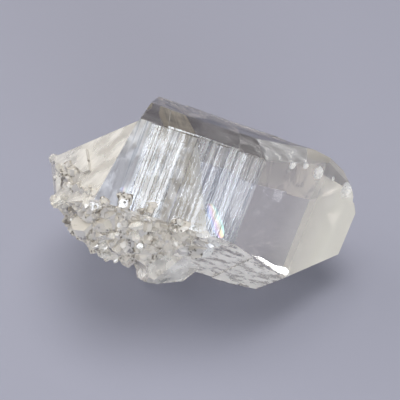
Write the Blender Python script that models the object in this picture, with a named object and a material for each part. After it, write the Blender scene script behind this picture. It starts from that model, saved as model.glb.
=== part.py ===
"""A clear quartz crystal of one point, lying nose down as it was set on a table.

The crystal grew in one piece. A six-sided prism ends in a point of six faces at the right. The left end is
broken off and, with the lower front side, carries a crust of small crystals. Three medium crystals jut from
under it: one shows in front, and the other two prop that side up. All of it is fused into one closed solid.

Lengths in the tables are millimetres, and MM turns them into metres. The crystal's own axes are X along its
length to the point, Y to the back and Z out of the upper prism face.
"""

import math
import random

import bmesh
import bpy
from mathutils import Matrix, Vector

MM = 0.001

# How the crystal lies: nose down, with its lowest edge worn to a small flat spot
NOSE_DOWN = math.radians(17.7)
FLAT_SPOT_DEPTH = 0.5

# Quartz: prism faces stand 60 degrees apart, and each point face leans 38.2 degrees from its prism face
POINT_LEAN = math.radians(38.2)

# Prism faces: degrees from upright, turning to the front, and distance from the middle
PRISM = {0: 22.4, 60: 18.1, 120: 11.6, 180: 24.0, 240: 20.8, 300: 14.5}
BEVEL = {330: 18.2}
# Point faces over the same prism faces: the upper front one is the large one
POINT = {0: 29.6, 60: 20.4, 120: 26.0, 180: 34.8, 240: 30.5, 300: 32.0}
# Two narrow facets where the upper edge of the large point face is worn: outward direction and distance
WORN_EDGE = [
    ((0.261, 0.113, 0.959), 23.2),
    ((0.641, -0.478, 0.600), 24.6),
]

# The broken end: outward direction and distance of each fracture plane
BROKEN_END = [
    ((-0.909, -0.263, 0.323), 24.8),
    ((-0.970, -0.200, -0.150), 27.6),
    ((-0.620, -0.250, -0.740), 22.5),
    ((-0.700, 0.700, -0.140), 26.0),
]
# A hollow fracture scooped from the upper back of that end: each wall's outward direction and distance
SCOOP = [
    ((-0.955, 0.290, 0.010), 14.0),
    ((-0.520, 0.700, 0.490), 13.8),
    ((-0.800, 0.540, 0.270), 14.9),
]

# Chips along the worn edge and at the tip: place on the large point face, radius and depth of each hollow
CHIPS = [
    ((17.2, -3.2, 19.6), 2.4, 0.5),
    ((20.8, -0.6, 18.5), 2.0, 0.5),
    ((25.2, 1.9, 15.8), 3.4, 0.8),
    ((30.4, 4.9, 13.4), 2.8, 0.7),
    ((35.2, 7.4, 9.0), 3.0, 0.9),
    ((38.6, 10.6, 5.4), 1.8, 0.6),
]

# Growth steps across the prism faces: side, start and end along the length, height
GROWTH_STEPS = [
    (60, -14.6, -4.6, 0.22),
    (0, -11.0, 4.0, 0.30),
    (300, -6.0, 15.0, 0.45),
    (120, 16.5, 22.5, 0.30),
]
# The low step on the slanted face of the broken end: its corners in turn, and its height
END_STEP_CORNERS = [
    (-25.9, -1.8, 2.3),
    (-24.6, -5.8, 2.9),
    (-22.4, -9.9, 5.6),
    (-21.7, -10.5, 7.3),
    (-23.2, -5.0, 7.5),
]
END_STEP_HEIGHT = 0.7

# Etch pits on the lower front face, in the clear right part of it: how many, where along and across the face,
# and the ranges of their radius and of their turn in radians. Depth is how long a pit's cutter is for its
# radius, and rise is how far its middle stands out of the face
PIT_COUNT = 9
PIT_FIELD = ((11.0, 24.0), (-11.0, 17.0))
PIT_RADIUS = (0.7, 1.7)
PIT_TURN = (-0.2, 0.2)
PIT_DEPTH = 0.9
PIT_RISE = 0.1

# The crust of small crystals. It bulges out of the lower front face as a mound: middle, half sizes and how
# often its ball of triangles is divided
CRUST_SEED = 41
MOUND_MIDDLE = (-11.0, -5.4, -1.6)
MOUND_SIZE = (14.5, 12.9, 12.9)
MOUND_DIVISIONS = 3
# Where its crystals root: length along the crystal, and degrees from upright turning to the front. The upper
# border starts at the first angle and drops by so many degrees for each millimetre right of the middle. They
# stand closest at the second angle and end at the third
CRUST_LENGTH = (-26.0, 7.5)
CRUST_TURN = (61.0, 76.0, 158.0)
CRUST_BORDER_DROP = 1.8
# How unevenly the crystals lean, and how deep each roots for its radius
CRUST_LEAN = 0.38
CRUST_ROOT = 1.6
# How many crystals, and the ranges of their radius and of how far they stand out
CRUST = [
    (34, (1.5, 2.4), (0.8, 2.2)),
    (190, (0.7, 1.3), (0.6, 1.7)),
]

# Every second point face of a small crystal lies further out by this share of the radius, so it is smaller.
# Each of the six may lie nearer by as much as the second share
SMALL_FACE_GAP = 0.22
SMALL_FACE_SPREAD = 0.12

# The medium crystals under the left side: the one in front, then the two that prop it up. For each: middle,
# axis to the tip, where one prism face looks, prism radius, length to the tip and length of the root
MEDIUM = [
    ((2.6, 0.6, -25.6), (-0.42, -0.19, -0.89), (-0.06, -0.97, 0.24), 7.4, 6.6, 12.0),
    ((2.6, 3.9, -29.0), (-0.42, -0.19, -0.89), (0.09, -0.98, 0.17), 6.6, 6.0, 15.0),
    ((-3.0, 6.5, -22.0), (-0.18, 0.25, -0.95), (0.0, 1.0, 0.0), 4.2, 13.5, 8.0),
]

# How far a growth step stays inside the faces beside it, and how deep it roots
STEP_INSET = 0.02
STEP_ROOT = 1.0
# Half the block that flat-faced solids are cut from
FAR = 120.0
# How often the ball that cuts a chip is divided
CHIP_DIVISIONS = 2
# Corners closer than this are one corner
WELD = 0.002


def prism_direction(degrees):
    """Outward direction of a prism face, turned from upright towards the front."""
    angle = math.radians(degrees)
    return Vector((0, -math.sin(angle), math.cos(angle)))


def down_direction(degrees):
    """The direction in a prism face that runs across its length, away from upright."""
    return prism_direction(degrees + 90)


def point_direction(degrees):
    """Outward direction of the point face over a prism face."""
    return prism_direction(degrees) * math.cos(POINT_LEAN) + Vector((math.sin(POINT_LEAN), 0, 0))


def finished(shape, name):
    """An object made from a shape, with its faces turned outwards."""
    bmesh.ops.recalc_face_normals(shape, faces=shape.faces[:])
    mesh = bpy.data.meshes.new(name)
    shape.to_mesh(mesh)
    shape.free()
    return bpy.data.objects.new(name, mesh)


def cut_flat(shape, direction, distance):
    """Cuts away what lies past a plane, and closes the cut with a flat face."""
    direction = Vector(direction).normalized()
    result = bmesh.ops.bisect_plane(
        shape,
        geom=shape.verts[:] + shape.edges[:] + shape.faces[:],
        plane_co=direction * distance * MM,
        plane_no=direction,
        clear_outer=True,
    )
    rim = [piece for piece in result["geom_cut"] if isinstance(piece, bmesh.types.BMEdge)]
    bmesh.ops.edgenet_fill(shape, edges=rim)


def flat_faced(planes, name):
    """A solid bounded by flat faces, cut out of a large block."""
    shape = bmesh.new()
    bmesh.ops.create_cube(shape, size=2 * FAR * MM)
    for direction, distance in planes:
        cut_flat(shape, direction, distance)
    return finished(shape, name)


def crystal_planes(prism, inset):
    """Every face of the large crystal as direction and distance, drawn in by an inset."""
    planes = [(prism_direction(side), distance) for side, distance in {**prism, **BEVEL}.items()]
    planes += [(point_direction(side), distance) for side, distance in POINT.items()]
    return [(direction, distance - inset) for direction, distance in planes + WORN_EDGE + BROKEN_END]


def main_crystal():
    """The large crystal: its prism, its point and the planes of its broken end."""
    return flat_faced(crystal_planes(PRISM, 0), "quartz_crystal")


def scoop_cutter():
    """What the hollow fracture took away: everything past its walls."""
    walls = [(-Vector(direction), -distance) for direction, distance in SCOOP]
    return flat_faced(walls, "scoop")


def chip_cutter(place, radius, depth):
    """A ball whose bite into the large point face leaves a shell-like chip."""
    shape = bmesh.new()
    bmesh.ops.create_icosphere(shape, subdivisions=CHIP_DIVISIONS, radius=radius * MM)
    middle = Vector(place) + point_direction(60) * (radius - depth)
    bmesh.ops.translate(shape, verts=shape.verts, vec=middle * MM)
    return finished(shape, "chip")


def on_side(side, along, across, height):
    """A place on a prism side, in millimetres from the crystal's middle."""
    return (
        Vector((along, 0, 0))
        + down_direction(side) * across
        + prism_direction(side) * (PRISM[side] + height)
    )


def side_frame(side, place):
    """A frame on a prism side: X along the crystal, Y across the side, Z out of it."""
    frame = Matrix((Vector((1, 0, 0)), down_direction(side), prism_direction(side))).transposed()
    return Matrix.Translation(place * MM) @ frame.to_4x4()


def growth_step(side, start, end, height):
    """A low step that runs right across a prism side, as growth bands do."""
    planes = crystal_planes({**PRISM, side: PRISM[side] + height + STEP_INSET}, STEP_INSET)
    planes.append((-prism_direction(side), STEP_ROOT - PRISM[side]))
    planes += [((1, 0, 0), end), ((-1, 0, 0), -start)]
    return flat_faced(planes, "growth_step")


def end_step():
    """The low step on the broken end, standing on its slanted face."""
    out, distance = Vector(BROKEN_END[0][0]).normalized(), BROKEN_END[0][1]
    corners = [Vector(corner) for corner in END_STEP_CORNERS]
    walls = [(out, distance + END_STEP_HEIGHT), (-out, STEP_ROOT - distance)]
    for corner, following in zip(corners, corners[1:] + corners[:1]):
        wall = (following - corner).cross(out).normalized()
        walls.append((wall, corner.dot(wall)))
    return flat_faced(walls, "end_step")


def etch_pits(chance):
    """Small three-sided pits, sunk point first into the lower front face."""
    pits = []
    for _ in range(PIT_COUNT):
        along = chance.uniform(*PIT_FIELD[0])
        across = chance.uniform(*PIT_FIELD[1])
        radius = chance.uniform(*PIT_RADIUS) * MM
        shape = bmesh.new()
        bmesh.ops.create_cone(
            shape, cap_ends=True, segments=3, radius1=0, radius2=radius, depth=PIT_DEPTH * radius
        )
        turn = Matrix.Rotation(chance.uniform(*PIT_TURN), 4, "Z")
        place = side_frame(120, on_side(120, along, across, PIT_RISE)) @ turn
        bmesh.ops.transform(shape, matrix=place, verts=shape.verts)
        pits.append(finished(shape, "pit"))
    return pits


def grown_crystal(middle, axis, facing, radius, reach, root, chance):
    """A quartz crystal with its tip out along an axis and its root sunk in what it grows from."""
    shape = bmesh.new()
    width, length = radius * MM, (reach + root) * MM
    bmesh.ops.create_cone(shape, cap_ends=True, segments=6, radius1=width, radius2=width, depth=length)
    bmesh.ops.translate(shape, verts=shape.verts, vec=Vector((0, 0, (reach - root) / 2 * MM)))
    for side in range(6):
        angle = math.radians(60 * side + 30)
        out = Vector((math.cos(angle), math.sin(angle), 0)) * math.cos(POINT_LEAN)
        gap = SMALL_FACE_GAP if side % 2 else 0.0
        distance = reach * math.sin(POINT_LEAN) + radius * chance.uniform(gap - SMALL_FACE_SPREAD, gap)
        cut_flat(shape, out + Vector((0, 0, math.sin(POINT_LEAN))), distance)
    aim, facing = Vector(axis).normalized(), Vector(facing)
    front = (facing - aim * facing.dot(aim)).normalized()
    frame = Matrix((front.cross(aim), front, aim)).transposed().to_4x4()
    bmesh.ops.transform(shape, matrix=Matrix.Translation(Vector(middle) * MM) @ frame, verts=shape.verts)
    return finished(shape, "small_crystal")


def crust_mound():
    """The mound under the crust."""
    shape = bmesh.new()
    bmesh.ops.create_icosphere(shape, subdivisions=MOUND_DIVISIONS, radius=MM)
    bmesh.ops.scale(shape, verts=shape.verts, vec=MOUND_SIZE)
    bmesh.ops.translate(shape, verts=shape.verts, vec=Vector(MOUND_MIDDLE) * MM)
    return finished(shape, "crust_mound")


def crust_place(along, degrees):
    """The outermost place on crystal or mound, seen from the crystal's axis in a direction."""
    ray = prism_direction(degrees)
    start = Vector((along, 0, 0))
    reaches = []
    for direction, distance in crystal_planes(PRISM, 0):
        out = Vector(direction).normalized()
        slope = out.dot(ray)
        if slope > 0:
            reaches.append((distance - out.dot(start)) / slope)
    reach = min(reaches)
    stretch = Vector([1 / size for size in MOUND_SIZE])
    offset, heading = (start - Vector(MOUND_MIDDLE)) * stretch, ray * stretch
    half, whole = offset.dot(heading), heading.dot(heading)
    inside = half * half - whole * (offset.dot(offset) - 1)
    if inside > 0:
        reach = max(reach, (math.sqrt(inside) - half) / whole)
    return start + ray * reach


def crust_crystals(count, radius_range, reach_range, chance):
    """Crystals scattered over the crust, most of them standing out of it."""
    crystals = []
    for _ in range(count):
        along = chance.uniform(*CRUST_LENGTH)
        border = CRUST_TURN[0] + CRUST_BORDER_DROP * max(0.0, along)
        degrees = chance.triangular(border, CRUST_TURN[2], max(border, CRUST_TURN[1]))
        place = crust_place(along, degrees)
        out = (place - Vector(MOUND_MIDDLE)).normalized()
        lean = Vector([chance.gauss(0, CRUST_LEAN) for _ in range(3)])
        facing = Vector([chance.gauss(0, 1) for _ in range(3)])
        radius = chance.uniform(*radius_range)
        reach = chance.uniform(*reach_range)
        root = CRUST_ROOT * radius
        crystals.append(grown_crystal(place, out + lean, facing, radius, reach, root, chance))
    return crystals


def welded(mesh):
    """Closes the hair-thin slits that a Boolean can leave where edges meet."""
    shape = bmesh.new()
    shape.from_mesh(mesh)
    bmesh.ops.remove_doubles(shape, verts=shape.verts, dist=WELD * MM)
    bmesh.ops.dissolve_degenerate(shape, edges=shape.edges, dist=WELD * MM)
    shape.to_mesh(mesh)
    shape.free()
    return mesh


def combine(target, tools, operation):
    """Joins the tools to the target, or cuts them from it, with one exact Boolean."""
    group = bpy.data.collections.new("tools")
    for tool in tools:
        group.objects.link(tool)
        bpy.context.scene.collection.objects.link(tool)
    boolean = target.modifiers.new("combine", "BOOLEAN")
    boolean.operation = operation
    boolean.operand_type = "COLLECTION"
    boolean.collection = group
    boolean.solver = "EXACT"
    graph = bpy.context.evaluated_depsgraph_get()
    result = bpy.data.meshes.new_from_object(target.evaluated_get(graph))
    target.modifiers.clear()
    target.data = welded(result)
    for tool in tools:
        bpy.data.objects.remove(tool, do_unlink=True)
    bpy.data.collections.remove(group)


def islands(shape):
    """The separate closed surfaces of a shape, each as a list of faces."""
    left = set(shape.faces)
    found = []
    while left:
        start = left.pop()
        island, waiting = [start], [start]
        while waiting:
            face = waiting.pop()
            for edge in face.edges:
                for other in edge.link_faces:
                    if other in left:
                        left.remove(other)
                        island.append(other)
                        waiting.append(other)
        found.append(island)
    return found


def keep_outside(shape):
    """Drops the surfaces of hidden pockets between fused crystals."""
    pieces = sorted(islands(shape), key=len)
    inner = [face for piece in pieces[:-1] for face in piece]
    bmesh.ops.delete(shape, geom=inner, context="FACES")


def lowest_edge():
    """How far below the middle the edge between the under side and the point over it hangs."""
    along = (POINT[180] - PRISM[180] * math.cos(POINT_LEAN)) / math.sin(POINT_LEAN)
    return PRISM[180] * math.cos(NOSE_DOWN) + along * math.sin(NOSE_DOWN)


def set_down(crystal):
    """Lays the crystal nose down, cuts its flat spots and puts the origin under the middle of it."""
    shape = bmesh.new()
    shape.from_mesh(crystal.data)
    bmesh.ops.rotate(shape, verts=shape.verts, matrix=Matrix.Rotation(NOSE_DOWN, 3, "Y"))
    cut_flat(shape, (0, 0, -1), lowest_edge() - FLAT_SPOT_DEPTH)
    bmesh.ops.remove_doubles(shape, verts=shape.verts, dist=WELD * MM)
    keep_outside(shape)
    low = Vector([min(vertex.co[axis] for vertex in shape.verts) for axis in range(3)])
    high = Vector([max(vertex.co[axis] for vertex in shape.verts) for axis in range(3)])
    bmesh.ops.translate(
        shape, verts=shape.verts, vec=-Vector(((low.x + high.x) / 2, (low.y + high.y) / 2, low.z))
    )
    shape.to_mesh(crystal.data)
    shape.free()


def quartz_material():
    """Clear quartz, as its plain colour and gloss."""
    material = bpy.data.materials.new("clear_quartz")
    material.use_nodes = True
    shader = material.node_tree.nodes["Principled BSDF"]
    shader.inputs["Base Color"].default_value = (0.86, 0.86, 0.84, 1)
    shader.inputs["Roughness"].default_value = 0.05
    shader.inputs["Metallic"].default_value = 0.0
    shader.inputs["IOR"].default_value = 1.544
    shader.inputs["Transmission Weight"].default_value = 1.0
    return material


for old in list(bpy.data.objects):
    bpy.data.objects.remove(old, do_unlink=True)

chance = random.Random(CRUST_SEED)
part = bpy.data.collections.new("quartz_crystal")
bpy.context.scene.collection.children.link(part)
crystal = main_crystal()
part.objects.link(crystal)

combine(crystal, [growth_step(*values) for values in GROWTH_STEPS] + [end_step()], "UNION")
chips = [chip_cutter(*values) for values in CHIPS]
combine(crystal, [scoop_cutter()] + chips + etch_pits(chance), "DIFFERENCE")
medium = [grown_crystal(*values, chance) for values in MEDIUM]
combine(crystal, [crust_mound()] + medium, "UNION")
for count, radius_range, reach_range in CRUST:
    combine(crystal, crust_crystals(count, radius_range, reach_range, chance), "UNION")
set_down(crystal)
crystal.data.materials.clear()
crystal.data.materials.append(quartz_material())
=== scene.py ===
"""A clear quartz crystal lying nose down on a pale floor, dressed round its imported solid."""

import math
import random

import bmesh
import bpy
import mathutils
from mathutils import Matrix, Vector


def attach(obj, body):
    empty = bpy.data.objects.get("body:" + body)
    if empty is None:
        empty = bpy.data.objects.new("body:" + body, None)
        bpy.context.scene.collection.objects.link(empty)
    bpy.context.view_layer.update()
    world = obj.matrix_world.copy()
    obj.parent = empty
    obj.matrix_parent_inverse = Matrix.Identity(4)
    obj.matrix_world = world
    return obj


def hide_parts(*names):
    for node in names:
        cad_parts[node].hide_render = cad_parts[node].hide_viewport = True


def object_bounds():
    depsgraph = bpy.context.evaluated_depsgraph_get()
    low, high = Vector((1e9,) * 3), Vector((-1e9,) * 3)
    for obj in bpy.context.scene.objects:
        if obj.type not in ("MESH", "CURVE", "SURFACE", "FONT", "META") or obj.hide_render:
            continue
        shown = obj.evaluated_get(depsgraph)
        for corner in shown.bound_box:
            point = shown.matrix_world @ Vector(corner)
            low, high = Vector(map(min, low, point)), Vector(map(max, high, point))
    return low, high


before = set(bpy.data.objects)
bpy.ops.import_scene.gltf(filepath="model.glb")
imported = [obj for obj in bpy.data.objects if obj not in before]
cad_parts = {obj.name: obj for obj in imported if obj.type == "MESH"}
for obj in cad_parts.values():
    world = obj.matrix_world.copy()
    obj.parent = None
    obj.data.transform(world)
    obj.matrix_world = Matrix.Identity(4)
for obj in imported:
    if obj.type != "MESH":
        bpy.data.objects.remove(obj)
cad_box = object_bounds()

# The crystal
# One crystal of clear quartz, grown in one piece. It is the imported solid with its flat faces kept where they
# are, and with the fine growth lines across its prism faces cut in as shallow grooves. Each kind of face has
# its own finish, from glassy to etched, broken or crusted with small crystals.
MM = 0.001

# Its own axes start at its middle: X along it to the point, Y to the back, Z out of the upper prism face
MIDDLE = Vector((-5.219, -0.450, 30.200)) * MM
NOSE_DOWN = math.radians(17.7)
OWN_AXES = Matrix.Translation(MIDDLE) @ Matrix.Rotation(NOSE_DOWN, 4, "Y")

# Prism faces: degrees from upright, turning to the front, and distance from the middle in millimetres
PRISM = {0: 22.4, 60: 18.1, 120: 11.6, 180: 24.0, 240: 20.8, 300: 14.5, 330: 18.2}
FRONT_SIDE = 60
ETCHED_SIDE = 120
TOP_SIDES = (0, 330)
POINT_SIDES = (0, 60, 120, 180, 240, 300)
POINT_LEAN = math.radians(38.2)
SLANT_DIRECTION = Vector((-0.909, -0.263, 0.323)).normalized()

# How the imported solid's loose triangles are joined, in millimetres, and how flat a face is
WELD = 0.001
FLATNESS = math.radians(0.5)

# Growth lines for each prism side: from and to along the length, how many, and the deepest groove
GROWTH_LINES = {
    60: (-13.5, 9.6, 58, 0.120),
    0: (-11.0, 19.0, 7, 0.030),
    300: (-13.0, 20.0, 30, 0.040),
    240: (-16.0, 2.0, 16, 0.030),
}
LINE_HALF_WIDTH = (0.07, 0.17)
LINE_DEPTH_SHARE = (0.2, 1.0)
LINE_SHALLOWNESS = 1.5
LINE_TOLERANCE = 0.01
LINE_SEED = 7

# The numbers of the finishes, and the ones that carry growth lines
CLEAR, WINDOW, LINED, LINED_TOP, LINED_BACK, ETCHED, SLANT, BROKEN, CRUST, SIDE_CRYSTAL = range(10)
LINED_FINISHES = (LINED, LINED_TOP, LINED_BACK)

# How a face's finish is found: how closely it looks along a direction, how near it is to its side's distance,
# where the crust and the medium crystals are, and how large faces are, in square millimetres
FACES_SIDE = 0.97
SAME_DIRECTION = 0.9995
NEAR_SIDE = 0.6
CRUST_MIDDLE = Vector((-11.0, -5.4, -1.6))
CRUST_REACH = 19.5
CRUST_FACE_AREA = 12
SIDE_CRYSTAL_TOP = -19
CLEAR_FACE_AREA = 25


def prism_direction(degrees):
    """Outward direction of a prism face in the crystal's own axes, turned from upright to the front."""
    angle = math.radians(degrees)
    return Vector((0, -math.sin(angle), math.cos(angle)))


def point_direction(degrees):
    """Outward direction of the point face over a prism face."""
    return prism_direction(degrees) * math.cos(POINT_LEAN) + Vector((math.sin(POINT_LEAN), 0, 0))


def in_own_axes(mesh):
    """A solid's copy in millimetres, in the crystal's own axes, with its loose triangles joined up."""
    shape = bmesh.new()
    shape.from_mesh(mesh)
    bmesh.ops.remove_doubles(shape, verts=shape.verts, dist=WELD * MM)
    bmesh.ops.transform(shape, matrix=Matrix.Scale(1 / MM, 4) @ OWN_AXES.inverted(), verts=shape.verts)
    bmesh.ops.recalc_face_normals(shape, faces=shape.faces)
    return shape


def face_finish(face):
    """Which finish a face of the crystal has, from the way it looks and where it is."""
    middle = face.calc_center_median()
    for side, distance in PRISM.items():
        facing = face.normal.dot(prism_direction(side)) > FACES_SIDE
        if facing and abs(middle.dot(prism_direction(side)) - distance) < NEAR_SIDE:
            if side == FRONT_SIDE:
                return LINED
            if side == ETCHED_SIDE:
                return ETCHED
            if side in TOP_SIDES:
                return LINED_TOP
            return LINED_BACK if side in GROWTH_LINES else CLEAR
    for side in POINT_SIDES:
        if face.normal.dot(point_direction(side)) > SAME_DIRECTION:
            return WINDOW if side == FRONT_SIDE else CLEAR
    if face.normal.dot(SLANT_DIRECTION) > SAME_DIRECTION:
        return SLANT
    if (middle - CRUST_MIDDLE).length < CRUST_REACH and face.calc_area() < CRUST_FACE_AREA:
        return CRUST
    if middle.z < SIDE_CRYSTAL_TOP:
        return SIDE_CRYSTAL
    return CLEAR if face.calc_area() > CLEAR_FACE_AREA else BROKEN


def cut_growth_lines(shape, side, start, end, count, depth, chance):
    """Cuts shallow grooves of uneven width and depth right across one prism side."""
    out = prism_direction(side)
    grooves = []
    for _ in range(count):
        half = chance.uniform(*LINE_HALF_WIDTH)
        middle = chance.uniform(start, end)
        grooves.append((middle, half, depth * chance.uniform(*LINE_DEPTH_SHARE) ** LINE_SHALLOWNESS))
    for middle, half, sink in sorted(grooves):
        for along, drop in ((middle - half, 0.0), (middle, sink), (middle + half, 0.0)):
            faces = [
                face
                for face in shape.faces
                if face.material_index in LINED_FINISHES and face.normal.dot(out) > FACES_SIDE
            ]
            edges = {edge for face in faces for edge in face.edges}
            verts = {vertex for face in faces for vertex in face.verts}
            cut = bmesh.ops.bisect_plane(
                shape,
                geom=list(verts) + list(edges) + faces,
                plane_co=(along, 0, 0),
                plane_no=(1, 0, 0),
            )
            for piece in cut["geom_cut"]:
                if isinstance(piece, bmesh.types.BMVert) and abs(piece.co.x - along) < LINE_TOLERANCE:
                    piece.co -= out * drop


body = in_own_axes(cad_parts["quartz_crystal"].data)
bmesh.ops.dissolve_limit(body, angle_limit=FLATNESS, verts=body.verts, edges=body.edges)
for face in body.faces:
    face.material_index = face_finish(face)
    face.smooth = False
line_chance = random.Random(LINE_SEED)
for side, values in GROWTH_LINES.items():
    cut_growth_lines(body, side, *values, line_chance)
bmesh.ops.transform(body, matrix=OWN_AXES @ Matrix.Scale(MM, 4), verts=body.verts)
crystal_mesh = bpy.data.meshes.new("crystal")
body.to_mesh(crystal_mesh)

# Quartz bends light by this much, and dims it very little
QUARTZ_IOR = 1.544
QUARTZ_DIMMING = 2.5
QUARTZ_DIM_COLOUR = (0.80, 0.78, 0.76)
UNSTRETCHED = (1, 1, 1)


def plain_material(name, colour, roughness):
    """A material of one colour: the material, its node tree and its shader."""
    material = bpy.data.materials.new(name)
    material.use_nodes = True
    tree = material.node_tree
    shader = tree.nodes["Principled BSDF"]
    shader.inputs["Base Color"].default_value = (*colour, 1)
    shader.inputs["Roughness"].default_value = roughness
    return material, tree, shader


def quartz(name, colour, roughness, transmission):
    """A see-through quartz finish: the material, its node tree and its shader."""
    material, tree, shader = plain_material(name, colour, roughness)
    shader.inputs["IOR"].default_value = QUARTZ_IOR
    shader.inputs["Transmission Weight"].default_value = transmission
    absorption = tree.nodes.new("ShaderNodeVolumeAbsorption")
    absorption.inputs["Color"].default_value = (*QUARTZ_DIM_COLOUR, 1)
    absorption.inputs["Density"].default_value = QUARTZ_DIMMING
    tree.links.new(absorption.outputs["Volume"], tree.nodes["Material Output"].inputs["Volume"])
    return material, tree, shader


def own_pattern(tree, stretch):
    """Object coordinates turned into the crystal's own axes and stretched, so a pattern follows its faces."""
    place = tree.nodes.new("ShaderNodeTexCoord")
    turn = tree.nodes.new("ShaderNodeMapping")
    turn.vector_type = "TEXTURE"
    turn.inputs["Location"].default_value = MIDDLE
    turn.inputs["Rotation"].default_value = (0, NOSE_DOWN, 0)
    tree.links.new(place.outputs["Object"], turn.inputs["Vector"])
    pull = tree.nodes.new("ShaderNodeMapping")
    pull.inputs["Scale"].default_value = stretch
    tree.links.new(turn.outputs["Vector"], pull.inputs["Vector"])
    return pull.outputs["Vector"]


def mottle(tree, stretch, detail=3.0, roughness=0.55):
    """An uneven pattern in the crystal's own axes, with so many spots in a metre each way."""
    node = tree.nodes.new("ShaderNodeTexNoise")
    node.inputs["Scale"].default_value = 1.0
    node.inputs["Detail"].default_value = detail
    node.inputs["Roughness"].default_value = roughness
    tree.links.new(own_pattern(tree, stretch), node.inputs["Vector"])
    return node.outputs["Fac"]


def span(tree, value, given, wanted):
    """A value carried from one range to another and held inside it."""
    node = tree.nodes.new("ShaderNodeMapRange")
    for name, number in zip(("From Min", "From Max", "To Min", "To Max"), (*given, *wanted)):
        node.inputs[name].default_value = number
    tree.links.new(value, node.inputs["Value"])
    return node.outputs["Result"]


def combined(tree, operation, first, second):
    """Two values added or multiplied."""
    node = tree.nodes.new("ShaderNodeMath")
    node.operation = operation
    tree.links.new(first, node.inputs[0])
    tree.links.new(second, node.inputs[1])
    return node.outputs[0]


def shaded(tree, value, given, colours):
    """A colour that passes from the first to the second while a value goes over a range."""
    ramp = tree.nodes.new("ShaderNodeValToRGB")
    for element, position, colour in zip(ramp.color_ramp.elements, given, colours):
        element.position = position
        element.color = (*colour, 1)
    tree.links.new(value, ramp.inputs["Fac"])
    return ramp.outputs["Color"]


def own_length(tree):
    """How far along the crystal a point lies, in metres from its middle."""
    split = tree.nodes.new("ShaderNodeSeparateXYZ")
    tree.links.new(own_pattern(tree, UNSTRETCHED), split.inputs["Vector"])
    return split.outputs["X"]


def relief(tree, height, strength, distance):
    """The direction of a surface with fine relief on it, so many millimetres high."""
    node = tree.nodes.new("ShaderNodeBump")
    node.inputs["Strength"].default_value = strength
    node.inputs["Distance"].default_value = distance * MM
    tree.links.new(height, node.inputs["Height"])
    return node.outputs["Normal"]


def feed(tree, shader, values):
    """Links values to a shader's sockets."""
    for socket, value in values.items():
        tree.links.new(value, shader.inputs[socket])


# Clear faces: haze spots in a metre, and the roughness that they span
CLEAR_COLOUR = (0.97, 0.965, 0.96)
CLEAR_HAZE = (90, 90, 90)
CLEAR_HAZE_RANGE = (0.45, 0.80)
CLEAR_ROUGHNESS = (0.0, 0.10)


def clear_face():
    """Glassy quartz with a faint haze in places."""
    material, tree, shader = quartz("quartz_clear_face", CLEAR_COLOUR, roughness=0.02, transmission=0.92)
    haze = mottle(tree, CLEAR_HAZE)
    feed(tree, shader, {"Roughness": span(tree, haze, CLEAR_HAZE_RANGE, CLEAR_ROUGHNESS)})
    return material


# The window: haze, and where along the crystal, in metres, it thickens and warms. The warm white there is
# painted reflection of the milky left end, over the worn tip's frost.
WINDOW_COLOUR = (0.97, 0.965, 0.955)
WINDOW_HAZE = (110, 110, 110)
WINDOW_HAZE_RANGE = (0.40, 0.75)
WINDOW_ROUGHNESS = (0.0, 0.08)
WINDOW_THICKENS = (0.020, 0.036)
WINDOW_TRANSMISSION = (0.84, 0.58)
WINDOW_REFLECTION_WARMS = (0.018, 0.034)
WINDOW_REFLECTION_COLOURS = ((0.93, 0.89, 0.88), (0.99, 0.955, 0.85))


def window_face():
    """The large point face: glassy, with a thin haze that thickens towards the worn tip, partly its frost and
    partly a painted warm reflection.
    """
    material, tree, shader = quartz("quartz_window_face", WINDOW_COLOUR, roughness=0.02, transmission=0.85)
    haze = mottle(tree, WINDOW_HAZE, detail=5.0, roughness=0.6)
    # The warm colour towards the tip is painted reflection.
    painted_warmth = span(tree, own_length(tree), WINDOW_REFLECTION_WARMS, (0.0, 1.0))
    feed(
        tree,
        shader,
        {
            "Base Color": shaded(tree, painted_warmth, (0.0, 1.0), WINDOW_REFLECTION_COLOURS),
            "Roughness": span(tree, haze, WINDOW_HAZE_RANGE, WINDOW_ROUGHNESS),
            "Transmission Weight": span(tree, own_length(tree), WINDOW_THICKENS, WINDOW_TRANSMISSION),
        },
    )
    return material


# The front prism face. The cloudy part ends where the healed fracture meets the face: the direction across
# that slanted edge, how ragged it is and how far along it lies, in metres
LINED_COLOUR = (0.97, 0.97, 0.98)
FINE_LINES = (2300, 45, 45)
WISPS = (340, 270, 270)
CLOUD_SLOPE = (1.0, 0.2445, 0.4235)
CLOUD_RAGGED = (-0.002, 0.002)
CLOUD_EDGE = (0.0020, 0.0034)
LINES_IN_CLOUD = 0.25
FACE_RELIEF = (1.0, 0.06)
# The lines' colours: painted shade in the growth lines and painted cool reflection between them; and how far
# wisps lift the lines out of their dark end in the cloud
LINE_RANGE = (0.41, 0.48)
LINE_SHADE_AND_REFLECTION_COLOURS = ((0.40, 0.43, 0.50), (0.93, 0.95, 1.0))
LINE_FADE = (0.09, 0.02)
# How milky the face is: all over, by its wisps, and in the dull strip at its left end
WISP_RANGE = (0.3, 0.7)
MILKY_WISPS = (0.46, 0.60)
WISP_MILK = (-0.12, 0.13)
STRIP_EDGE = (-0.0145, -0.0135)
STRIP_MILK = (-0.03, 0.0)
STRIP_DULLNESS = (0.35, 0.0)
MILK_TO_CLEAR = (-0.13, 0.87)
ROUGH_LINES = (0.54, 0.61)
LINE_ROUGHNESS = (0.06, 0.45)


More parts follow.
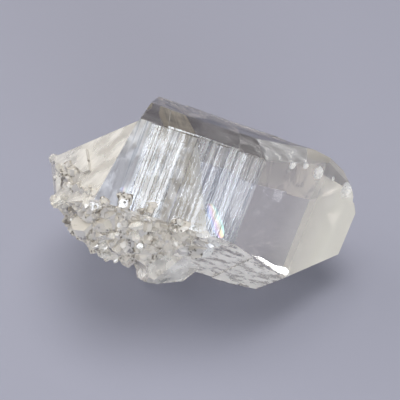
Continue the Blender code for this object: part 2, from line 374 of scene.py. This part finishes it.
def lined_face():
    """The front prism face: fine growth lines across the length, and wispy veils under its left part."""
    material, tree, shader = quartz("quartz_lined_face", LINED_COLOUR, roughness=0.08, transmission=1.0)
    lines = mottle(tree, FINE_LINES, detail=4.0)
    wisps = mottle(tree, WISPS, detail=7.0, roughness=0.70)
    slanted = tree.nodes.new("ShaderNodeVectorMath")
    slanted.operation = "DOT_PRODUCT"
    slanted.inputs[1].default_value = CLOUD_SLOPE
    tree.links.new(own_pattern(tree, UNSTRETCHED), slanted.inputs[0])
    ragged = combined(tree, "ADD", slanted.outputs["Value"], span(tree, wisps, WISP_RANGE, CLOUD_RAGGED))
    in_cloud = span(tree, ragged, CLOUD_EDGE, (1.0, 0.0))
    outside = span(tree, ragged, CLOUD_EDGE, (LINES_IN_CLOUD, 1.0))
    lines_height = combined(tree, "MULTIPLY", lines, outside)
    height = combined(tree, "ADD", lines_height, combined(tree, "MULTIPLY", wisps, in_cloud))
    fade = combined(tree, "MULTIPLY", in_cloud, span(tree, wisps, WISP_RANGE, LINE_FADE))
    veil = combined(tree, "MULTIPLY", span(tree, wisps, MILKY_WISPS, WISP_MILK), in_cloud)
    milk = combined(tree, "ADD", veil, span(tree, own_length(tree), STRIP_EDGE, STRIP_MILK))
    fine = combined(tree, "MULTIPLY", span(tree, lines, ROUGH_LINES, LINE_ROUGHNESS), outside)
    dull = span(tree, own_length(tree), STRIP_EDGE, STRIP_DULLNESS)
    # The base colour is painted shade in the growth lines and a painted cool reflection between them.
    feed(
        tree,
        shader,
        {
            "Normal": relief(tree, height, *FACE_RELIEF),
            "Base Color": shaded(tree, combined(tree, "ADD", lines, fade), LINE_RANGE, LINE_SHADE_AND_REFLECTION_COLOURS),
            "Transmission Weight": span(tree, milk, MILK_TO_CLEAR, (1.0, 0.0)),
            "Roughness": combined(tree, "ADD", fine, dull),
        },
    )
    return material


# The top: its lines, and painted shade in wavy streaks, and where along the crystal, in metres, the painted
# shade deepens
TOP_SHADE_COLOUR = (0.45, 0.42, 0.42)
BACK_COLOUR = (0.97, 0.97, 0.97)
SOFT_LINES = (1500, 50, 50)
SOFT_LINE_RELIEF = (0.25, 0.02)
SOFT_LINE_RANGE = (0.4, 0.8)
SOFT_LINE_ROUGHNESS = (0.02, 0.12)
SHADE_STREAKS = (60, 420, 420)
SHADE_RANGE = (0.38, 0.62)
PAINTED_SHADE_COLOURS = ((0.31, 0.285, 0.28), (0.60, 0.57, 0.56))
SHADE_DEEPENS = (0.007, 0.012)
SHADE_DEEPER = (0.0, -0.2)


def soft_lines(tree, shader):
    """Weak growth lines in a face's relief and roughness."""
    lines = mottle(tree, SOFT_LINES, detail=4.0)
    feed(
        tree,
        shader,
        {
            "Normal": relief(tree, lines, *SOFT_LINE_RELIEF),
            "Roughness": span(tree, lines, SOFT_LINE_RANGE, SOFT_LINE_ROUGHNESS),
        },
    )


def lined_top():
    """The top face and the bevel beside it: growth lines under painted shade in brown-grey streaks, darker
    towards the point.
    """
    material, tree, shader = quartz("quartz_top_face", TOP_SHADE_COLOUR, roughness=0.05, transmission=1.0)
    soft_lines(tree, shader)
    # Painted shade: the base colour darkens in streaks and towards the point, for the shaded floor seen
    # through the top.
    shade_streaks = mottle(tree, SHADE_STREAKS, detail=5.0, roughness=0.6)
    painted_shade = combined(tree, "ADD", shade_streaks, span(tree, own_length(tree), SHADE_DEEPENS, SHADE_DEEPER))
    feed(tree, shader, {"Base Color": shaded(tree, painted_shade, SHADE_RANGE, PAINTED_SHADE_COLOURS)})
    return material


def lined_back():
    """The other prism faces: glassy, with weaker growth lines."""
    material, tree, shader = quartz("quartz_back_face", BACK_COLOUR, roughness=0.05, transmission=1.0)
    soft_lines(tree, shader)
    return material


# The etched face: its patches and grain, and a clear patch in it, in millimetres in the crystal's own axes
ETCHED_COLOUR = (0.95, 0.94, 0.93)
ETCHED_PATCHES = (330, 330, 330)
ETCHED_GRAIN = (800, 800, 800)
ETCHED_RELIEF = (0.8, 0.18)
ETCHED_COLOUR_RANGE = (0.34, 0.54)
ETCHED_COLOURS = ((0.58, 0.54, 0.50), (1.0, 0.95, 0.87))
CLEAR_PATCH = Vector((18.6, -15.2, 3.2))
CLEAR_PATCH_EDGE = (0.0024, 0.0030)
DULL_RANGE = (0.36, 0.56)
DULL_ROUGHNESS = (0.04, 0.50)
MILKY_RANGE = (0.34, 0.54)
MILKY_TRANSMISSION = (1.0, 0.28)


def etched_face():
    """The lower front face: etched dull in patches, with small hollows."""
    material, tree, shader = quartz("quartz_etched_face", ETCHED_COLOUR, roughness=0.25, transmission=0.75)
    patches = mottle(tree, ETCHED_PATCHES, detail=6.0, roughness=0.70)
    grain = mottle(tree, ETCHED_GRAIN, detail=4.0, roughness=0.65)
    away = tree.nodes.new("ShaderNodeVectorMath")
    away.operation = "DISTANCE"
    away.inputs[1].default_value = CLEAR_PATCH * MM
    tree.links.new(own_pattern(tree, UNSTRETCHED), away.inputs[0])
    outside = span(tree, away.outputs["Value"], CLEAR_PATCH_EDGE, (0.0, 1.0))
    dull = combined(tree, "MULTIPLY", patches, outside)
    feed(
        tree,
        shader,
        {
            "Normal": relief(tree, grain, *ETCHED_RELIEF),
            "Base Color": shaded(tree, patches, ETCHED_COLOUR_RANGE, ETCHED_COLOURS),
            "Roughness": span(tree, dull, DULL_RANGE, DULL_ROUGHNESS),
            "Transmission Weight": span(tree, dull, MILKY_RANGE, MILKY_TRANSMISSION),
        },
    )
    return material


# The slanted broken face, the other broken faces and their shell-like ripples
SLANT_COLOUR = (0.95, 0.93, 0.88)
SLANT_RIPPLES = (240, 500, 130)
SLANT_MILKY_RANGE = (0.35, 0.65)
SLANT_TRANSMISSION = (0.42, 0.72)
SLANT_ROUGHNESS = (0.12, 0.45)
BROKEN_COLOUR = (0.95, 0.94, 0.91)
BROKEN_RIPPLES = (700, 500, 700)
BROKEN_ROUGHNESS = (0.15, 0.50)
RIPPLE_RANGE = (0.3, 0.8)
RIPPLE_RELIEF = (0.5, 0.12)


def slant_face():
    """The slanted broken face: pale and dull, like ground glass."""
    material, tree, shader = quartz("quartz_slant_face", SLANT_COLOUR, roughness=0.3, transmission=0.55)
    ripples = mottle(tree, SLANT_RIPPLES, detail=5.0)
    feed(
        tree,
        shader,
        {
            "Normal": relief(tree, ripples, *RIPPLE_RELIEF),
            "Roughness": span(tree, ripples, RIPPLE_RANGE, SLANT_ROUGHNESS),
            "Transmission Weight": span(tree, ripples, SLANT_MILKY_RANGE, SLANT_TRANSMISSION),
        },
    )
    return material


def broken_face():
    """Fractured quartz with shell-like ripples."""
    material, tree, shader = quartz("quartz_broken_face", BROKEN_COLOUR, roughness=0.25, transmission=0.60)
    ripples = mottle(tree, BROKEN_RIPPLES, detail=4.0)
    feed(
        tree,
        shader,
        {
            "Normal": relief(tree, ripples, *RIPPLE_RELIEF),
            "Roughness": span(tree, ripples, RIPPLE_RANGE, BROKEN_ROUGHNESS),
        },
    )
    return material


# The crust: the dark mottling between its crystals and its fine relief
CRUST_COLOUR = (0.86, 0.84, 0.80)
CRUST_DARK_SPOTS = (420, 420, 420)
CRUST_DARK_RANGE = (0.37, 0.46)
CRUST_COLOURS = ((0.30, 0.27, 0.23), (0.90, 0.865, 0.80))
CRUST_GRAIN = (2200, 2200, 2200)
CRUST_RELIEF = (0.4, 0.06)


def crust_face():
    """The sugary crust: cloudy small crystals with a little dark grey mottling between them."""
    material, tree, shader = quartz("quartz_crust", CRUST_COLOUR, roughness=0.06, transmission=0.66)
    dark_mottle = mottle(tree, CRUST_DARK_SPOTS, detail=5.0, roughness=0.65)
    feed(
        tree,
        shader,
        {
            "Normal": relief(tree, mottle(tree, CRUST_GRAIN), *CRUST_RELIEF),
            "Base Color": shaded(tree, dark_mottle, CRUST_DARK_RANGE, CRUST_COLOURS),
        },
    )
    return material


# The medium crystals: the dull skin on them
SIDE_COLOUR = (0.93, 0.90, 0.85)
SIDE_SKIN = (250, 250, 250)
SIDE_RELIEF = (0.15, 0.05)
SIDE_ROUGH_RANGE = (0.35, 0.65)
SIDE_ROUGHNESS = (0.10, 0.35)
SIDE_MILKY_RANGE = (0.38, 0.60)
SIDE_TRANSMISSION = (0.75, 0.50)


def side_crystal_face():
    """The medium crystals: glassy under a thin dull skin."""
    material, tree, shader = quartz("quartz_side_crystal", SIDE_COLOUR, roughness=0.2, transmission=0.75)
    skin = mottle(tree, SIDE_SKIN, detail=5.0, roughness=0.6)
    feed(
        tree,
        shader,
        {
            "Normal": relief(tree, skin, *SIDE_RELIEF),
            "Roughness": span(tree, skin, SIDE_ROUGH_RANGE, SIDE_ROUGHNESS),
            "Transmission Weight": span(tree, skin, SIDE_MILKY_RANGE, SIDE_TRANSMISSION),
        },
    )
    return material


# They go on in the order of their numbers
for finish in (
    clear_face(),
    window_face(),
    lined_face(),
    lined_top(),
    lined_back(),
    etched_face(),
    slant_face(),
    broken_face(),
    crust_face(),
    side_crystal_face(),
):
    crystal_mesh.materials.append(finish)
crystal = bpy.data.objects.new("crystal", crystal_mesh)
bpy.context.scene.collection.objects.link(crystal)
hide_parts("quartz_crystal")
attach(crystal, "root")

# The healed fracture
# A crack that ran across the crystal and grew shut again. It stayed as a thin, wavy white veil inside, which
# meets the front face in a slanted line and gives the left half its cloudy look.
VEIL_LINE = ((-5.6, -17.4), (5.6, 5.5))
VEIL_DIP = math.radians(70)
VEIL_INSET = 0.9
VEIL_WAVE = 0.7
VEIL_WAVE_SIZE = 0.16
VEIL_HALF = 60.0
VEIL_STEPS = 110
# The outer faces other than the prism's that it stops short of: outward direction and distance
VEIL_BOUNDS = [
    (SLANT_DIRECTION, 24.8),
    (Vector((-0.620, -0.250, -0.740)).normalized(), 22.5),
    (Vector((-0.955, 0.290, 0.010)).normalized(), 14.0),
    (point_direction(0), 29.6),
    (point_direction(60), 20.4),
]
VEIL_COLOUR = (0.99, 0.945, 0.83)
VEIL_ROUGHNESS = 0.8
VEIL_WISPS = (170, 170, 170)
VEIL_WISP_RANGE = (0.36, 0.56)
VEIL_ALPHA = (0.60, 1.0)
FRONT_OUT = prism_direction(FRONT_SIDE)
FRONT_ACROSS = prism_direction(FRONT_SIDE + 90)


def on_front_face(along, across):
    """A place on the front prism face in the crystal's own axes."""
    return Vector((along, 0, 0)) + FRONT_ACROSS * across + FRONT_OUT * PRISM[FRONT_SIDE]


def in_place(shape, name, material):
    """Makes a shape in millimetres in the crystal's own axes a piece that stands where the crystal is."""
    bmesh.ops.transform(shape, matrix=OWN_AXES @ Matrix.Scale(MM, 4), verts=shape.verts)
    mesh = bpy.data.meshes.new(name)
    shape.to_mesh(mesh)
    shape.free()
    mesh.materials.append(material)
    piece = bpy.data.objects.new(name, mesh)
    bpy.context.scene.collection.objects.link(piece)
    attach(piece, "root")


def veil_finish():
    """White wisps with gaps between them."""
    material, tree, shader = plain_material("white_veil", VEIL_COLOUR, VEIL_ROUGHNESS)
    wisps = mottle(tree, VEIL_WISPS, detail=7.0, roughness=0.62)
    feed(tree, shader, {"Alpha": span(tree, wisps, VEIL_WISP_RANGE, VEIL_ALPHA)})
    return material


veil_start, veil_end = (on_front_face(*place) for place in VEIL_LINE)
veil_run = (veil_end - veil_start).normalized()
veil_sink = -Vector((1, 0, 0)) * math.cos(VEIL_DIP) - FRONT_OUT * math.sin(VEIL_DIP)
veil_out = veil_run.cross(veil_sink).normalized()
veil_turn = Matrix((veil_run, veil_out.cross(veil_run), veil_out)).transposed().to_4x4()
veil_seat = Matrix.Translation((veil_start + veil_end) / 2) @ veil_turn
veil_shape = bmesh.new()
bmesh.ops.create_grid(veil_shape, x_segments=VEIL_STEPS, y_segments=VEIL_STEPS, size=VEIL_HALF)
bmesh.ops.transform(veil_shape, matrix=veil_seat, verts=veil_shape.verts)
for direction, distance in [(prism_direction(side), reach) for side, reach in PRISM.items()] + VEIL_BOUNDS:
    bmesh.ops.bisect_plane(
        veil_shape,
        geom=veil_shape.verts[:] + veil_shape.edges[:] + veil_shape.faces[:],
        plane_co=direction * (distance - VEIL_INSET),
        plane_no=direction,
        clear_outer=True,
    )
for vertex in veil_shape.verts:
    vertex.co += veil_out * VEIL_WAVE * mathutils.noise.noise(vertex.co * VEIL_WAVE_SIZE)
for face in veil_shape.faces:
    face.smooth = True
in_place(veil_shape, "healed_fracture", veil_finish())

# The rainbow cracks
# Two thin flat cracks just under the front face. The air in them splits the light into bands of colour.
# Each has its middle on the face, its half sizes along and across, and its turn.
RAINBOWS = [
    ((4.8, -0.3), (1.3, 3.9), math.radians(-40)),
    ((-15.0, -0.7), (0.8, 0.5), 0.0),
]
RAINBOW_DEPTH = 0.45
RAINBOW_TILT = 0.06
RAINBOW_CORNERS = 32
RAINBOW_MAP = "across"
RAINBOW_COLOURS = [
    (0.92, 0.93, 0.97),
    (0.38, 0.55, 0.95),
    (0.80, 0.55, 0.90),
    (0.98, 0.62, 0.50),
    (0.97, 0.93, 0.62),
    (0.50, 0.92, 0.80),
    (0.95, 0.95, 0.97),
]
RAINBOW_ROUGHNESS = 0.7
RAINBOW_GLOSS = 0.1
RAINBOW_ALPHA = 0.80
RAINBOW_WAVER = (500, 500, 500)
RAINBOW_WAVER_RANGE = (-0.25, 0.25)


def rainbow_finish():
    """Pale bands of colour that fade into each other."""
    material, tree, shader = plain_material("rainbow_crack", RAINBOW_COLOURS[0], RAINBOW_ROUGHNESS)
    shader.inputs["Specular IOR Level"].default_value = RAINBOW_GLOSS
    shader.inputs["Alpha"].default_value = RAINBOW_ALPHA
    across = tree.nodes.new("ShaderNodeUVMap")
    across.uv_map = RAINBOW_MAP
    parts = tree.nodes.new("ShaderNodeSeparateXYZ")
    tree.links.new(across.outputs["UV"], parts.inputs["Vector"])
    waver = span(tree, mottle(tree, RAINBOW_WAVER), (0.0, 1.0), RAINBOW_WAVER_RANGE)
    ramp = tree.nodes.new("ShaderNodeValToRGB")
    elements = ramp.color_ramp.elements
    elements[0].color = (*RAINBOW_COLOURS[0], 1)
    elements[1].color = (*RAINBOW_COLOURS[-1], 1)
    for number, colour in enumerate(RAINBOW_COLOURS[1:-1], 1):
        elements.new(number / (len(RAINBOW_COLOURS) - 1)).color = (*colour, 1)
    tree.links.new(combined(tree, "ADD", parts.outputs["X"], waver), ramp.inputs["Fac"])
    feed(tree, shader, {"Base Color": ramp.outputs["Color"]})
    return material


rainbow_shape = bmesh.new()
rainbow_map = rainbow_shape.loops.layers.uv.new(RAINBOW_MAP)
face_turn = Matrix((Vector((1, 0, 0)), FRONT_ACROSS, FRONT_OUT)).transposed().to_4x4()
for middle, half_sizes, turn in RAINBOWS:
    circle = bmesh.ops.create_circle(rainbow_shape, cap_ends=True, segments=RAINBOW_CORNERS, radius=1.0)
    disc = circle["verts"]
    for corner in disc[0].link_faces[0].loops:
        corner[rainbow_map].uv = (0.5 + corner.vert.co.x / 2, 0.5 + corner.vert.co.y / 2)
    bmesh.ops.scale(rainbow_shape, verts=disc, vec=(*half_sizes, 1))
    place = Matrix.Translation(on_front_face(*middle) - FRONT_OUT * RAINBOW_DEPTH)
    seat = place @ face_turn @ Matrix.Rotation(turn, 4, "Z") @ Matrix.Rotation(RAINBOW_TILT, 4, "X")
    bmesh.ops.transform(rainbow_shape, matrix=seat, verts=disc)
in_place(rainbow_shape, "rainbow_cracks", rainbow_finish())

# The silvery crack
# A flat open crack inside the point, behind the lower edge of the large point face. The air in it mirrors the
# light from in front, and shows as a bright wedge along that edge. Its corners are in the crystal's own axes.
SILVERY_CRACK = [
    (15.00, -9.05, -2.29),
    (18.33, -8.51, -2.99),
    (22.53, -8.28, -4.65),
    (26.67, -7.49, -5.36),
    (28.17, -7.57, -6.22),
    (27.73, -8.14, -6.97),
    (24.46, -8.65, -6.23),
    (19.92, -8.88, -4.39),
    (16.89, -9.07, -3.23),
]
SILVERY_COLOUR = (1.0, 0.985, 0.95)
SILVERY_CLOUD = (600, 600, 600)
SILVERY_CLOUD_RANGE = (0.35, 0.65)
SILVERY_ROUGHNESS = (0.15, 0.35)


def silvery_crack_finish():
    """Bright like a mirror, with slightly dull places."""
    material, tree, shader = plain_material("silvery_crack", SILVERY_COLOUR, SILVERY_ROUGHNESS[0])
    shader.inputs["Metallic"].default_value = 1.0
    cloud = mottle(tree, SILVERY_CLOUD, detail=4.0)
    feed(tree, shader, {"Roughness": span(tree, cloud, SILVERY_CLOUD_RANGE, SILVERY_ROUGHNESS)})
    return material


silvery_crack_shape = bmesh.new()
silvery_crack_shape.faces.new(silvery_crack_shape.verts.new(corner) for corner in SILVERY_CRACK)
in_place(silvery_crack_shape, "silvery_crack", silvery_crack_finish())

# The smallest crystals and the dark grains
# Flat small crystals lie on the broken end, and finer ones between the larger crystals of the crust. Dark
# brown-grey grains sit between those. All are scattered over the faces that they are on.
END_SEED = 3
END_DENSITY = 40000.0
END_SIZE = (0.5, 1.3)
END_STRETCH = (1.9, 0.8, 0.42)
END_COLOUR = (0.93, 0.91, 0.86)
END_CLOUD = (260, 260, 260)
END_ROUGHNESS = (0.05, 0.40)
END_MILKY_RANGE = (0.40, 0.60)
END_TRANSMISSION = (0.85, 0.60)
# The part of the broken end that carries them lies inside these planes: outward direction and distance
END_LIMITS = [((1, 0, 0), -20.0), ((0, 1, 0), 2.0), ((0, 0.35, 1), -1.0)]
GRAIN_SEED = 11
GRAIN_DENSITY = 40000.0
GRAIN_SIZE = (0.25, 0.95)
GRAIN_PATCHES = (0.47, 300.0)
GRAIN_COLOUR = (0.91, 0.88, 0.82)
GRAIN_CLOUD = (500, 500, 500)
GRAIN_ROUGHNESS = (0.08, 0.35)
SMALL_CLOUD_RANGE = (0.35, 0.70)
SPECK_SEED = 5
SPECK_DENSITY = 1500000.0
SPECK_SIZE = (0.12, 0.38)
SPECK_PATCHES = (0.60, 170.0)
SPECK_STRETCH = (1.0, 0.7, 0.45)
SPECK_ROUGHNESS = 0.8
SPECK_MOTTLE = (900, 900, 900)
SPECK_COLOURS = ((0.035, 0.033, 0.03), (0.16, 0.14, 0.11))
ALL_OVER = (0.0, 300.0)
SMALL_CRYSTAL_TIP = (0.15, 0.1, 2.0)
FACING_UP = 0.9
MOST_TURN = (0.6, 0.6, 3.1)
PATCH_DETAIL = 2.0


def skin_of(shape, name, wanted, ends=()):
    """A mesh of the faces with the wanted finishes, cut off at some planes, for small pieces to lie on."""
    skin_shape = shape.copy()
    for direction, distance in ends:
        direction = OWN_AXES.to_3x3() @ Vector(direction).normalized()
        bmesh.ops.bisect_plane(
            skin_shape,
            geom=skin_shape.verts[:] + skin_shape.edges[:] + skin_shape.faces[:],
            plane_co=MIDDLE + direction * distance * MM,
            plane_no=direction,
            clear_outer=True,
        )
    unwanted = [face for face in skin_shape.faces if face.material_index not in wanted]
    bmesh.ops.delete(skin_shape, geom=unwanted, context="FACES")
    skin = bpy.data.meshes.new(name)
    skin_shape.to_mesh(skin)
    skin_shape.free()
    return skin


def scatter_tree():
    """A node tree that scatters a shape over faces, thickest in patches, and makes it one mesh."""
    tree = bpy.data.node_groups.new("scatter_over_faces", "GeometryNodeTree")
    sockets = tree.interface
    sockets.new_socket("Geometry", in_out="INPUT", socket_type="NodeSocketGeometry")
    sockets.new_socket("Shape", in_out="INPUT", socket_type="NodeSocketObject")
    for name in ("Density", "Smallest", "Largest", "Patch Edge", "Patch Size"):
        sockets.new_socket(name, in_out="INPUT", socket_type="NodeSocketFloat")
    sockets.new_socket("Seed", in_out="INPUT", socket_type="NodeSocketInt")
    sockets.new_socket("Material", in_out="INPUT", socket_type="NodeSocketMaterial")
    sockets.new_socket("Geometry", in_out="OUTPUT", socket_type="NodeSocketGeometry")
    given = tree.nodes.new("NodeGroupInput").outputs
    points = tree.nodes.new("GeometryNodeDistributePointsOnFaces")
    patches = tree.nodes.new("ShaderNodeTexNoise")
    patches.inputs["Detail"].default_value = PATCH_DETAIL
    chosen = tree.nodes.new("FunctionNodeCompare")
    chosen.operation = "GREATER_THAN"
    shape = tree.nodes.new("GeometryNodeObjectInfo")
    size = tree.nodes.new("FunctionNodeRandomValue")
    size.data_type = "FLOAT"
    lean = tree.nodes.new("FunctionNodeRandomValue")
    lean.data_type = "FLOAT_VECTOR"
    lean.inputs[0].default_value = [-turn for turn in MOST_TURN]
    lean.inputs[1].default_value = MOST_TURN
    turned = tree.nodes.new("FunctionNodeRotateRotation")
    turned.rotation_space = "LOCAL"
    copies = tree.nodes.new("GeometryNodeInstanceOnPoints")
    real = tree.nodes.new("GeometryNodeRealizeInstances")
    finish = tree.nodes.new("GeometryNodeSetMaterial")
    result = tree.nodes.new("NodeGroupOutput")
    for source, target in (
        (given["Geometry"], points.inputs["Mesh"]),
        (given["Density"], points.inputs["Density"]),
        (given["Seed"], points.inputs["Seed"]),
        (given["Patch Size"], patches.inputs["Scale"]),
        (patches.outputs["Fac"], chosen.inputs["A"]),
        (given["Patch Edge"], chosen.inputs["B"]),
        (chosen.outputs["Result"], copies.inputs["Selection"]),
        (given["Shape"], shape.inputs["Object"]),
        (given["Smallest"], size.inputs[2]),
        (given["Largest"], size.inputs[3]),
        (given["Seed"], size.inputs["Seed"]),
        (points.outputs["Rotation"], turned.inputs["Rotation"]),
        (lean.outputs[0], turned.inputs["Rotate By"]),
        (points.outputs["Points"], copies.inputs["Points"]),
        (shape.outputs["Geometry"], copies.inputs["Instance"]),
        (turned.outputs["Rotation"], copies.inputs["Rotation"]),
        (size.outputs[1], copies.inputs["Scale"]),
        (copies.outputs["Instances"], real.inputs["Geometry"]),
        (real.outputs["Geometry"], finish.inputs["Geometry"]),
        (given["Material"], finish.inputs["Material"]),
        (finish.outputs["Geometry"], result.inputs["Geometry"]),
    ):
        tree.links.new(source, target)
    return tree


def scattered(name, skin, tree, shape, material, density, sizes, patches, seed):
    """Makes a plain mesh of the shape scattered over a skin of faces, kept inside the crystal's box."""
    model = bpy.data.objects.new(name + "_model", shape)
    carrier = bpy.data.objects.new(name + "_carrier", skin)
    bpy.context.scene.collection.objects.link(model)
    bpy.context.scene.collection.objects.link(carrier)
    spread = carrier.modifiers.new("scatter", "NODES")
    spread.node_group = tree
    values = {
        "Shape": model,
        "Density": density,
        "Smallest": sizes[0] * MM,
        "Largest": sizes[1] * MM,
        "Patch Edge": patches[0],
        "Patch Size": patches[1],
        "Seed": seed,
        "Material": material,
    }
    for item in tree.interface.items_tree:
        if item.in_out == "INPUT" and item.name in values:
            spread[item.identifier] = values[item.name]
    graph = bpy.context.evaluated_depsgraph_get()
    mesh = bpy.data.meshes.new_from_object(carrier.evaluated_get(graph))
    bpy.data.objects.remove(carrier)
    bpy.data.objects.remove(model)
    for vertex in mesh.vertices:
        for axis in range(3):
            vertex.co[axis] = min(max(vertex.co[axis], cad_box[0][axis]), cad_box[1][axis])
    piece = bpy.data.objects.new(name, mesh)
    bpy.context.scene.collection.objects.link(piece)
    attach(piece, "root")


def small_crystal_shape(stretch=(1.0, 1.0, 1.0)):
    """A small six-sided crystal of unit radius with a blunt point, its root below the ground."""
    shape = bmesh.new()
    foot = bmesh.ops.create_cone(shape, cap_ends=True, segments=6, radius1=1.0, radius2=1.0, depth=2.0)
    top = [vertex for vertex in foot["verts"] if vertex.co.z > 0]
    lid = [face for face in shape.faces if face.normal.z > FACING_UP]
    bmesh.ops.delete(shape, geom=lid, context="FACES_ONLY")
    tip = shape.verts.new(SMALL_CRYSTAL_TIP)
    around = sorted(top, key=lambda vertex: math.atan2(vertex.co.y, vertex.co.x))
    for first, second in zip(around, around[1:] + around[:1]):
        shape.faces.new((first, second, tip))
    bmesh.ops.recalc_face_normals(shape, faces=shape.faces)
    bmesh.ops.scale(shape, verts=shape.verts, vec=stretch)
    mesh = bpy.data.meshes.new("small_crystal")
    shape.to_mesh(mesh)
    shape.free()
    return mesh


def speck_shape():
    """An uneven dark grain."""
    shape = bmesh.new()
    bmesh.ops.create_icosphere(shape, subdivisions=1, radius=1.0)
    bmesh.ops.scale(shape, verts=shape.verts, vec=SPECK_STRETCH)
    mesh = bpy.data.meshes.new("speck")
    shape.to_mesh(mesh)
    shape.free()
    return mesh


def end_crystal_finish():
    """Half-clear pale quartz of the flat crystals on the broken end."""
    material, tree, shader = quartz("quartz_end_crystal", END_COLOUR, roughness=0.15, transmission=0.70)
    cloud = mottle(tree, END_CLOUD, detail=4.0)
    feed(
        tree,
        shader,
        {
            "Roughness": span(tree, cloud, SMALL_CLOUD_RANGE, END_ROUGHNESS),
            "Transmission Weight": span(tree, cloud, END_MILKY_RANGE, END_TRANSMISSION),
        },
    )
    return material


def grain_finish():
    """Cloudy white quartz of the small crystals."""
    material, tree, shader = quartz("quartz_grain", GRAIN_COLOUR, roughness=0.15, transmission=0.62)
    cloud = mottle(tree, GRAIN_CLOUD)
    feed(tree, shader, {"Roughness": span(tree, cloud, SMALL_CLOUD_RANGE, GRAIN_ROUGHNESS)})
    return material


def speck_finish():
    """Dark brown-grey grains."""
    material, tree, shader = plain_material("dark_grains", SPECK_COLOURS[0], SPECK_ROUGHNESS)
    feed(tree, shader, {"Base Color": shaded(tree, mottle(tree, SPECK_MOTTLE), (0.0, 1.0), SPECK_COLOURS)})
    return material


crust_skin = skin_of(body, "crust_skin", (CRUST,))
end_skin = skin_of(body, "end_skin", (SLANT, BROKEN, CLEAR), END_LIMITS)
body.free()
scatter = scatter_tree()
scattered(
    "end_crystals",
    end_skin,
    scatter,
    small_crystal_shape(END_STRETCH),
    end_crystal_finish(),
    END_DENSITY,
    END_SIZE,
    ALL_OVER,
    END_SEED,
)
scattered(
    "crust_grains",
    crust_skin,
    scatter,
    small_crystal_shape(),
    grain_finish(),
    GRAIN_DENSITY,
    GRAIN_SIZE,
    GRAIN_PATCHES,
    GRAIN_SEED,
)
scattered(
    "crust_dirt",
    crust_skin,
    scatter,
    speck_shape(),
    speck_finish(),
    SPECK_DENSITY,
    SPECK_SIZE,
    SPECK_PATCHES,
    SPECK_SEED,
)

# The floor
# A plain pale surface with a faint blue cast, as wide as the view needs.
FLOOR_HALF = 1.5
FLOOR_COLOUR = (0.25, 0.255, 0.31)
FLOOR_ROUGHNESS = 0.9
FLOOR_GLOSS = 0.1
floor_shape = bmesh.new()
bmesh.ops.create_grid(floor_shape, x_segments=1, y_segments=1, size=FLOOR_HALF)
floor_mesh = bpy.data.meshes.new("floor")
floor_shape.to_mesh(floor_mesh)
floor_shape.free()
floor = bpy.data.objects.new("floor", floor_mesh)
bpy.context.scene.collection.objects.link(floor)
floor_material, _, floor_shader = plain_material("floor_cloth", FLOOR_COLOUR, FLOOR_ROUGHNESS)
floor_shader.inputs["Specular IOR Level"].default_value = FLOOR_GLOSS
floor_mesh.materials.append(floor_material)

# The light
# A soft lamp overhead, one from the left, a low cool one like a window in front, and an even dim fill.
# Each lamp has its place, size, power and colour, and looks at the middle of the crystal's foot.
LIGHTS = {
    "overhead": ((-0.06, 0.02, 0.80), (0.46, 0.46), 5.4, (1.0, 0.98, 0.95)),
    "left": ((-0.65, 0.05, 0.50), (0.60, 0.60), 2.2, (1.0, 0.97, 0.94)),
    "window": ((0.21, -0.67, 0.17), (0.42, 0.24), 4.0, (0.86, 0.92, 1.0)),
}
LIGHT_AIM = Vector((0, 0, 0.02))
FILL_COLOUR = (1.0, 0.99, 0.98)
FILL_STRENGTH = 0.50
for name, (place, size, power, colour) in LIGHTS.items():
    lamp = bpy.data.lights.new(name, "AREA")
    lamp.shape = "RECTANGLE"
    lamp.size, lamp.size_y = size
    lamp.energy = power
    lamp.color = colour
    lamp_object = bpy.data.objects.new(name, lamp)
    lamp_object.location = place
    lamp_object.rotation_euler = (LIGHT_AIM - Vector(place)).to_track_quat("-Z", "Y").to_euler()
    bpy.context.scene.collection.objects.link(lamp_object)
surroundings = bpy.data.worlds.new("surroundings")
surroundings.use_nodes = True
fill = surroundings.node_tree.nodes["Background"]
fill.inputs["Color"].default_value = (*FILL_COLOUR, 1)
fill.inputs["Strength"].default_value = FILL_STRENGTH
bpy.context.scene.world = surroundings

# The camera
# It looks down at 45 degrees from the front, rolled a little, with a long lens.
CAMERA_PLACE = MIDDLE + Vector((2.6, -169.8, 167.4)) * MM
CAMERA_DOWN = math.radians(45)
CAMERA_ROLL = math.radians(5.5)
CAMERA_TURN = math.radians(-0.45)
LENS = 99.0
SENSOR = 36.0
NEAREST = 0.01
camera_data = bpy.data.cameras.new("camera")
camera_data.lens = LENS
camera_data.sensor_width = SENSOR
camera_data.clip_start = NEAREST
camera = bpy.data.objects.new("camera", camera_data)
camera.matrix_world = (
    Matrix.Translation(CAMERA_PLACE)
    @ Matrix.Rotation(CAMERA_TURN, 4, "Z")
    @ Matrix.Rotation(math.pi / 2 - CAMERA_DOWN, 4, "X")
    @ Matrix.Rotation(CAMERA_ROLL, 4, "Z")
)
bpy.context.scene.collection.objects.link(camera)
bpy.context.scene.camera = camera

# The light's paths
# Light bounces many times inside a crystal before it comes out, and plain colours need a plain view.
BOUNCES = {
    "max_bounces": 32,
    "glossy_bounces": 24,
    "transmission_bounces": 32,
    "diffuse_bounces": 6,
    "transparent_max_bounces": 24,
}
for kind, number in BOUNCES.items():
    setattr(bpy.context.scene.cycles, kind, number)
bpy.context.scene.cycles.use_denoising = True
bpy.context.scene.view_settings.view_transform = "Standard"
